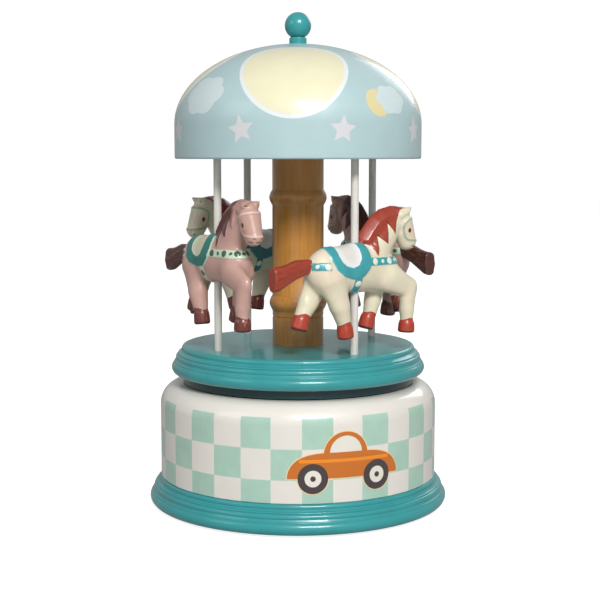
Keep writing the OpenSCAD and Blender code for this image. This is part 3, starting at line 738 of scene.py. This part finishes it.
def horse_surface(p):
    """Distance to the finished horse, with the tack in relief."""
    fields = horse_fields(p)
    zones = tack_zones(p, fields)
    body = fields["body"]
    body = body - 0.45 * rise(zones["border"], 0.25, -0.25) - 0.12 * rise(zones["seat"], 0.3, -0.3)
    body = body - 0.35 * rise(zones["straps"], 0.2, -0.2) - 0.2 * rise(zones["bridle"], 0.2, -0.25)
    body = body - 0.3 * rise(zones["dots"], 0.1, -0.7)
    surface = smooth_min(body, fields["mane"], 0.4)
    surface = smooth_min(surface, fields["tail"], 0.8)
    surface = smooth_min(surface, fields["hooves"], 0.3)
    bore = POLE_BORE - np.hypot(p[:, 0], p[:, 1])
    return smooth_max(surface, bore, 0.3)


def strap_dots():
    """Where the dots sit on the straps: each is found by going out from inside the body to its surface."""
    chest, big, small = (13.5, 0, 35.3), 1.35, 0.85
    rays = [((-16.1, 0, 34.2), 90, big), ((-19.3, 0, 34.3), 95, small), ((5.3, 0, 35.3), 90, big),
            ((9.1, 0, 35.3), 90, small), ((12.6, 0, 35.3), 90, big), (chest, 60, small), (chest, 28, big),
            (chest, 0, small), ((-2.2, 0, 27.4), 90, big)]
    dots = []
    for origin, angle, radius in rays:
        for side in ((1, -1) if angle else (1,)):
            turn = math.radians(angle * side)
            path = np.array(origin) + np.outer(np.arange(0, 16, 0.1), (math.cos(turn), math.sin(turn), 0))
            inside = horse_fields(path)["body"] < 0
            dots.append((path[np.flatnonzero(inside)[-1]], radius))
    return dots


DOTS = strap_dots()


def surface_mesh(field, low, high, step):
    """Vertices and quads of a field's zero surface: a vertex in each cell that it crosses, moved on to it."""
    coarse = 4
    count = [int(math.ceil((b - a) / step / coarse)) * coarse for a, b in zip(low, high)]
    axes = [a + step * np.arange(n) for a, n in zip(low, count)]
    middles = [axis[::coarse] + step * (coarse - 1) / 2 for axis in axes]
    rough = field(np.stack(np.meshgrid(*middles, indexing="ij"), -1).reshape(-1, 3))
    rough = rough.reshape([len(m) for m in middles])
    for axis in range(3):
        rough = np.repeat(rough, coarse, axis)
    near = np.abs(rough) < 3.2 * step * coarse / 2
    points = np.stack(np.meshgrid(*axes, indexing="ij"), -1)
    values = rough.copy()
    values[near] = field(points[near])

    inside = values < 0
    cells = tuple(n - 1 for n in values.shape)
    crossings, total = np.zeros(cells), np.zeros(cells + (3,))
    corners = [np.array([i, j, k]) for i in (0, 1) for j in (0, 1) for k in (0, 1)]

    def at(array, corner):
        return array[tuple(slice(c, c + n) for c, n in zip(corner, cells))]

    for corner in corners:
        for axis in range(3):
            if corner[axis]:
                continue
            other = corner.copy()
            other[axis] = 1
            a, b = at(values, corner), at(values, other)
            crosses = (a < 0) != (b < 0)
            share = np.where(crosses, a / np.where(crosses, a - b, 1), 0)
            offset = np.zeros(cells + (3,)) + corner
            offset[..., axis] += share
            total += offset * crosses[..., None]
            crossings += crosses
    active = crossings > 0
    number = np.full(cells, -1)
    number[active] = np.arange(active.sum())
    origin = np.array([axis[0] for axis in axes])
    vertices = origin + step * (np.argwhere(active) + total[active] / crossings[active][:, None])

    quads = []
    for axis in range(3):
        one, two = (axis + 1) % 3, (axis + 2) % 3
        size = list(values.shape)
        size[axis] -= 1
        lower = [slice(1, n - 1) for n in values.shape]
        lower[axis] = slice(0, size[axis])
        upper = list(lower)
        upper[axis] = slice(1, size[axis] + 1)
        a, b = inside[tuple(lower)], inside[tuple(upper)]
        for flip, mask in ((False, a & ~b), (True, b & ~a)):
            at_cell = np.argwhere(mask)
            at_cell[:, one] += 1
            at_cell[:, two] += 1
            ring = []
            for step_one, step_two in ((-1, -1), (0, -1), (0, 0), (-1, 0)):
                cell = at_cell.copy()
                cell[:, one] += step_one
                cell[:, two] += step_two
                ring.append(number[tuple(cell.T)])
            quad = np.stack(ring, 1)
            quads.append(quad[:, ::-1] if flip else quad)
    quads = np.concatenate(quads)

    for _ in range(3):
        vertices = onto_surface(field, vertices, step)
        vertices = relax(vertices, quads, 0.35)
    return onto_surface(field, onto_surface(field, vertices, step), step), quads


def onto_surface(field, vertices, step):
    """Moves points along the field's slope towards its zero surface."""
    gap = 0.04
    value = field(vertices)
    slope = np.stack([(field(vertices + gap * e) - field(vertices - gap * e)) / (2 * gap)
                      for e in np.eye(3)], 1)
    size = np.maximum((slope ** 2).sum(1), 0.2)
    return vertices - slope * np.clip(value / size, -step, step)[:, None]


def relax(vertices, quads, share):
    """Moves each vertex a share of the way to the middle of its neighbours."""
    total, count = np.zeros_like(vertices), np.zeros(len(vertices))
    for a, b in ((0, 1), (1, 2), (2, 3), (3, 0)):
        for i, k in ((a, b), (b, a)):
            np.add.at(total, quads[:, i], vertices[quads[:, k]])
            np.add.at(count, quads[:, i], 1)
    return vertices + share * (total / count[:, None] - vertices)


HORSE_STEP = 0.42


def horse_mesh():
    """The mould that all four horses share, with a signed distance in millimetres to each painted zone."""
    step = HORSE_STEP
    vertices, quads = surface_mesh(horse_surface, (-41, -12.5, 5), (32, 12.5, 58), step)
    mesh = bpy.data.meshes.new("horse_mould")
    mesh.from_pydata(vertices * MM, [], quads.tolist())
    mesh.shade_smooth()
    fields = horse_fields(vertices)
    zones = tack_zones(vertices, fields)
    body = fields["body"]
    zones["mane"] = fields["mane"] - body + 0.1
    zones["crest"] = fields["mane_outline"]
    zones["tail"] = fields["tail"] - body + 0.1
    # the sole zone is a painted shadow band at the foot of each hoof
    zones["hoof"], zones["sole"] = fields["hoof_paint"], fields["sole_shadows"]
    for name, values in zones.items():
        attribute = mesh.attributes.new("zone_" + name, "FLOAT", "POINT")
        attribute.data.foreach_set("value", np.clip(values, -20, 20).astype(np.float32))
    return mesh


def horse_paint(name, colours):
    """Hand-painted resin; colours names the colour of each painted zone. The mane's crest takes a painted
    shade, the foot of each hoof a painted shadow and the seat's rim a painted highlight.
    """
    shader = Shader(name, coat_weight=0.25, coat_roughness=0.12)
    waver = shader.ramp(shader.noise(1.6, 2), 0.2, 0.8, -0.09, 0.09, "LINEAR")

    def zone(key, soft=0.09):
        return shader.inside(shader.math("ADD", shader.attribute("zone_" + key), waver), soft)

    blotch = shader.ramp(shader.noise(11, 2), 0.35, 0.65)
    skin = shader.mix(blotch, colours["body"], colours["body_warm"])
    skin = shader.vary(skin, 3.5, 0.03)
    blush = shader.ramp(shader.attribute("zone_eye"), 0.2, 3.2, 0.45, 0.0)
    colour = shader.mix(blush, skin, colours["blush"])
    # painted highlight: the seat's raised rim is painted lighter and bluer than its middle
    seat_highlight_edge = shader.ramp(shader.attribute("zone_seat"), -3.5, -0.6)
    seat = shader.mix(seat_highlight_edge, colours["seat"], colours["seat_rim"])
    ring = shader.math("SUBTRACT", shader.attribute("zone_eye"), 0.6)
    colour = shader.mix(shader.inside(ring, 0.2), colour, colours["eye_ring"])
    x = shader.axes()[0]
    piping = shader.math("SUBTRACT", shader.math("ABSOLUTE", shader.attribute("zone_cloth")), 0.18)
    sheath = shader.noise(0.7, 2, shader.stretched(1, 1, 0.2))
    hoof = shader.vary(colours["hoof"], 2, 0.1)
    hoof = shader.mix(shader.ramp(sheath, 0.55, 0.72), hoof, colours["hoof_streak"])
    mane = shader.mix(shader.ramp(x, 14.5, 17.5), colours["mane"], colours["mane_top"])
    # painted shade: the band along the mane's outer edge, its sloping crest, is painted darker
    crest = shader.ramp(shader.attribute("zone_crest"), -3.3, -2.9, 0.0, 1.0)
    mane = shader.mix(shader.math("MULTIPLY", crest, colours["crest_share"]), mane, colours["crest"])
    streak = shader.noise(0.5, 2, shader.stretched(0.12, 1, 1), 0.6, 0.6)
    tail = shader.mix(shader.ramp(streak, 0.48, 0.66), colours["tail"], colours["tail_streak"])
    border = shader.vary(colours["border"], 3, 0.06)
    # the sole layer is a painted shadow at the foot of each hoof
    for key, layer in (("seat", seat), ("border", border), ("straps", colours["straps"]),
                       ("dots", colours["dots"]), ("bridle", colours["bridle"]), ("mane", mane),
                       ("tail", tail), ("hoof", hoof), ("sole", colours["sole"]), ("eye", colours["eye"])):
        colour = shader.mix(zone(key, 0.16 if key == "bridle" else 0.09), colour, layer)
        if key == "border":
            colour = shader.mix(shader.inside(piping, 0.15), colour, colours["piping"])
    shader.set("Base Color", colour)
    shader.polish(0.3, 0.46, 6)
    shader.bump(shader.noise(5, 2), 0.15, 0.5)
    return shader.material


def palette(**zones):
    """The colour of each painted zone; the crest's colour is a painted shade on the mane's sloping outer
    edge, and its share says how much of the mane takes it. The sole's colour is a painted shadow at the foot
    of each hoof, and the seat's rim is a painted highlight.
    """
    return {key: rgb(*value) if isinstance(value, tuple) else value for key, value in zones.items()}


def horse_finishes():
    """The paints of the four horses, in the order of their poles."""
    # In these palettes the crest's colour is a painted shade, the sole's a painted shadow and the seat's rim
    # a painted highlight.
    cream = palette(body=(218, 214, 188), body_warm=(221, 208, 185), blush=(220, 190, 172),
                    seat=(212, 208, 202), seat_rim=(220, 224, 224), border=(58, 152, 160),
                    piping=(86, 170, 176), straps=(58, 152, 160), dots=(220, 230, 214),
                    bridle=(156, 178, 156), mane=(160, 66, 44), mane_top=(160, 66, 44),
                    crest=(150, 54, 40), crest_share=0.7, tail=(150, 56, 36), tail_streak=(134, 46, 32),
                    hoof=(168, 58, 38), hoof_streak=(188, 78, 58), sole=(92, 40, 36), eye=(84, 44, 32),
                    eye_ring=(226, 204, 180))
    bay = palette(mane=(150, 58, 48), mane_top=(150, 58, 48), crest=(130, 48, 42), tail=(140, 50, 42),
                  tail_streak=(122, 42, 36), hoof=(112, 44, 42), hoof_streak=(134, 60, 52),
                  sole=(60, 30, 30), border=(40, 118, 124), straps=(40, 118, 124))
    pink = palette(body=(187, 150, 141), body_warm=(193, 154, 143), blush=(204, 168, 154),
                   seat=(200, 192, 158), seat_rim=(196, 206, 182), border=(38, 112, 106),
                   piping=(176, 204, 180), straps=(192, 212, 186), dots=(52, 92, 70),
                   bridle=(214, 186, 176), mane=(90, 41, 38), mane_top=(190, 142, 132),
                   crest=(92, 46, 46), crest_share=0.0, tail=(70, 35, 28), tail_streak=(102, 64, 56),
                   hoof=(104, 46, 38), hoof_streak=(164, 108, 94), sole=(58, 34, 30), eye=(78, 44, 30),
                   eye_ring=(204, 166, 150))
    pink_paint = horse_paint("pink_horse_paint", pink)
    return (horse_paint("cream_horse_paint", cream), pink_paint,
            horse_paint("cream_and_bay_horse_paint", {**cream, **bay}), pink_paint)


def make_horses():
    """A horse on each pole, facing anticlockwise round the axis."""
    mesh = horse_mesh()
    mesh.materials.append(None)
    lowest_hoof = 6.9
    for number, colour in enumerate(horse_finishes(), 1):
        low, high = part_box(f"pole_{number}")
        x, y = (low.x + high.x) / 2, (low.y + high.y) / 2
        horse = placed(f"painted_horse_{number}", mesh)
        horse.location = (x, y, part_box(f"horse_{number}")[0].z - lowest_hoof * MM)
        horse.rotation_euler = (0, 0, math.atan2(y, x) + math.pi / 2)
        horse.material_slots[0].link = "OBJECT"
        horse.material_slots[0].material = colour
        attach(horse, "carousel")
        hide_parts(f"horse_{number}")


# ---- printed motifs ----

def ink(name, colour):
    """A printed colour under the piece's gloss."""
    shader = Shader(name, roughness=0.34, coat_weight=0.5, coat_roughness=0.08)
    shader.set("Base Color", shader.vary(colour, 6, 0.02))
    return shader.material


def round_outline(centre, radius, steps=64):
    turns = np.arange(steps) * math.tau / steps
    return [(centre[0] + radius * math.cos(a), centre[1] + radius * math.sin(a)) for a in turns]


def star_outline(centre, tilt_deg):
    outer, inner, points = 5.3, 2.5, 5
    turns = math.radians(90 + tilt_deg) + np.arange(2 * points) * math.pi / points
    return [(centre[0] + r * math.cos(a), centre[1] + r * math.sin(a))
            for a, r in zip(turns, [outer, inner] * points)]


def cloud_outline(centre, radius, puffs=6, steps=96):
    turns = np.arange(steps) * math.tau / steps
    size = radius * (0.86 + 0.14 * np.abs(np.cos(puffs / 2 * turns)))
    return [(centre[0] + 1.25 * r * math.cos(a), centre[1] + r * math.sin(a)) for a, r in zip(turns, size)]


def divided(outline, longest):
    """The same outline with no side longer than that."""
    out = []
    for a, b in zip(outline, list(outline[1:]) + [outline[0]]):
        a, b = np.array(a), np.array(b)
        count = max(1, math.ceil(np.linalg.norm(b - a) / longest))
        out += [tuple(a + (b - a) * i / count) for i in range(count)]
    return out


def printed(name, layers, place, body):
    """A motif of thin closed shells, bottom layer first; each layer is (material, outline).
    place puts a point of the flat drawing on the curved surface, so many millimetres proud of it."""
    sunk, first, step, grid = -0.1, 0.04, 0.03, 1.3
    vertices, faces, indices, materials = [], [], [], []
    for level, (material, outline) in enumerate(layers):
        outline = divided(outline, grid)
        pts = np.array(outline)
        u, t = (axis.ravel() for axis in np.meshgrid(*(np.arange(lo + grid / 2, hi, grid)
                                                       for lo, hi in zip(pts.min(0), pts.max(0)))))
        far = outline_field(u, t, [tuple(q) for q in pts]) < -0.3 * grid if len(u) else []
        flat = [Vector(q) for q in outline] + [Vector(q) for q in zip(u[far], t[far])]
        flat, _, triangles, *_ = delaunay_2d_cdt(flat, [], [list(range(len(pts)))], 1, 1e-5)
        count, start = len(flat), len(vertices)
        top = first + step * level
        vertices += [place(x, y, top) for x, y in flat] + [place(x, y, sunk) for x, y in flat]
        edges = {}
        for a, b, c in triangles:
            faces.append([start + a, start + b, start + c])
            faces.append([start + count + a, start + count + c, start + count + b])
            edges.update({(a, b): 1, (b, c): 1, (c, a): 1})
        for a, b in edges:
            if (b, a) not in edges:
                faces.append([start + b, start + a, start + count + a, start + count + b])
        if material not in materials:
            materials.append(material)
        indices += [materials.index(material)] * (len(faces) - len(indices))
    return new_piece(name, vertices, faces, body, materials, indices, 30)


def on_drum(turn_deg):
    """Places a drawing of (arc length, height) on the drum's wall; turns count from the front."""
    def place(s, z, lift):
        a = math.radians(turn_deg) + s / DRUM_R
        return ((DRUM_R + lift) * math.sin(a), -(DRUM_R + lift) * math.cos(a), z)
    return place


def dome_table():
    """Arc length from the fascia's top to each angle of the dome's ellipse."""
    angles = np.linspace(0, math.pi / 2, 721)
    pts = np.stack([CANOPY_R * np.cos(angles), DOME_H * np.sin(angles)], 1)
    return np.concatenate([[0], np.cumsum(np.linalg.norm(np.diff(pts, axis=0), axis=1))]), angles


def on_canopy(turn_deg):
    """Places a drawing on the canopy; its second coordinate runs up the fascia and on along the dome."""
    lengths, angles = dome_table()

    def place(s, t, lift):
        e = float(np.interp(t, lengths, angles))
        slope = np.array([math.cos(e) / CANOPY_R, math.sin(e) / DOME_H])
        slope /= np.linalg.norm(slope)
        r = CANOPY_R * math.cos(e)
        a = math.radians(turn_deg) + s / r
        z = DOME_Z + DOME_H * math.sin(e) + min(t, 0) + lift * slope[1]
        return ((r + lift * slope[0]) * math.sin(a), -(r + lift * slope[0]) * math.cos(a), z)
    return place


# The printed car, in millimetres along the drum and up from the frame's floor, z 0.
CAR_MIDDLE, CAR_FLOOR = 18, 21.5
CAR_LENGTH, CAR_HEIGHT = 44, 9.5
CABIN_R, WINDOW_R, WINDOW_SILL = 8.5, 6.2, 0.8
WHEEL_R, WHEEL_SPACING = 5.6, 25
PRINT_EDGE = 0.45


def arch(centre, half, height, power, steps=48):
    """A flat-bottomed arch; a higher power gives it squarer shoulders."""
    across = -np.cos(np.linspace(0, math.pi, steps))
    return [(centre[0] + half * x, centre[1] + height * math.sqrt(max(0, 1 - abs(x) ** power)))
            for x in across]


def car_layers():
    """A plain toy car: a rounded body, a domed cabin with a window, a stripe and two equal wheels."""
    cream, white = ink("cream_ink", rgb(236, 214, 172)), ink("white_ink", rgb(226, 222, 212))
    orange, bright = ink("orange_ink", rgb(196, 108, 22)), ink("bright_orange_ink", rgb(236, 138, 18))
    dark = ink("dark_ink", rgb(64, 52, 54))
    body, cabin = (CAR_MIDDLE, CAR_FLOOR), (CAR_MIDDLE, CAR_FLOOR + CAR_HEIGHT - 1)
    wheels = [(CAR_MIDDLE + side * WHEEL_SPACING / 2, CAR_FLOOR) for side in (-1, 1)]
    roof, shell = (cabin, CABIN_R, CABIN_R, 2), (body, CAR_LENGTH / 2, CAR_HEIGHT, 4)
    layers = [(cream, arch((x, z - PRINT_EDGE), half + PRINT_EDGE, height + 2 * PRINT_EDGE, power))
              for (x, z), half, height, power in (roof, shell)]
    layers += [(cream, round_outline(centre, WHEEL_R + PRINT_EDGE)) for centre in wheels]
    window = arch((cabin[0], cabin[1] + WINDOW_SILL), WINDOW_R, WINDOW_R, 2)
    layers += [(orange, arch(*roof)), (white, window), (orange, arch(*shell))]
    stripe_z, stripe_half, reach = CAR_FLOOR + 0.68 * CAR_HEIGHT, 0.6, 0.4 * CAR_LENGTH
    layers.append((bright, [(CAR_MIDDLE + x * reach, stripe_z + z * stripe_half)
                            for x, z in ((-1, -1), (1, -1), (1, 1), (-1, 1))]))
    for paint_ink, share in ((dark, 1), (white, 0.55), (dark, 0.18)):
        layers += [(paint_ink, round_outline(centre, WHEEL_R * share)) for centre in wheels]
    return layers


def canopy_print(name, turn_deg, layers):
    printed(name, layers, on_canopy(turn_deg), "carousel")


def make_prints():
    layers = car_layers()
    for number, turn in ((1, 0), (2, 180)):
        printed(f"printed_car_{number}", layers, on_drum(turn), "housing")
    star_ink = ink("star_ink", rgb(208, 208, 212))
    rim_ink = ink("disc_rim_ink", rgb(222, 228, 228))
    disc_ink = ink("pale_yellow_ink", rgb(226, 222, 190))
    cloud_ink = ink("cloud_ink", rgb(200, 216, 220))
    sun_ink = ink("sun_ink", rgb(216, 206, 158))
    star_height, disc_at, rim_r, disc_r = -2.5, (0, 22.3), 21, 19.3
    for k in range(8):
        tilt = 10 if k == 0 else (0, -4, 6)[k % 3]
        star = [(star_ink, star_outline((0, star_height), tilt))]
        canopy_print(f"printed_star_{k + 1}", -25.2 + 45 * k, star)
    disc = [(rim_ink, round_outline(disc_at, rim_r, 120)), (disc_ink, round_outline(disc_at, disc_r, 120))]
    for k in range(4):
        canopy_print(f"printed_disc_{k + 1}", -2.4 + 90 * k, disc)
    cloud = [(cloud_ink, cloud_outline((0, 11.4), 8.6))]
    sun_and_cloud = [(sun_ink, round_outline((-2.6, 7.8), 5.5)), (cloud_ink, cloud_outline((4.6, 9.2), 6.2))]
    for k in (0, 2):
        canopy_print(f"printed_cloud_{k + 1}", -50.5 + 90 * k, cloud)
        canopy_print(f"printed_cloud_{k + 2}", 42 + 90 * k, sun_and_cloud)


# ---- finishing ----

def paint_cad_nodes():
    steel = metal("bright_steel", rgb(196, 198, 202), 0.22, 0.4)
    comb_steel = metal("ground_steel", rgb(176, 180, 188), 0.3, 0.5, (0.1, 1, 1), 0.2)
    brass = metal("turned_brass", rgb(214, 172, 92), 0.2, 0.38, (1, 1, 3), 0.3)
    zinc = metal("zinc_casting", rgb(168, 170, 174), 0.45, 0.65, size=0.8, depth=0.03)
    slots = {row["node"]: row["material_slot"] for row in frame["record"]["subparts"]}
    finishes = {"steel": steel, "comb_steel": comb_steel, "brass": brass, "zinc": zinc, "nylon": nylon(),
                "pad": pad_foam(), "pole_paint": pole_paint(), "varnish": VARNISH,
                "canopy_paint": CANOPY_PAINT, "teal_paint": TEAL_PAINT, "drum_paint": DRUM_PAINT}
    for name, slot in slots.items():
        if slot in finishes:
            materials = NODES[name].data.materials
            materials.clear()
            materials.append(finishes[slot])


bpy.context.scene.view_settings.view_transform = "Standard"
make_camera()
make_world()
make_lights()
make_floor()
TEAL_PAINT, DRUM_PAINT, CANOPY_PAINT, VARNISH = teal_paint(), drum_paint(), canopy_paint(), varnish()
paint_cad_nodes()
make_turned_pieces()
make_horses()
make_prints()
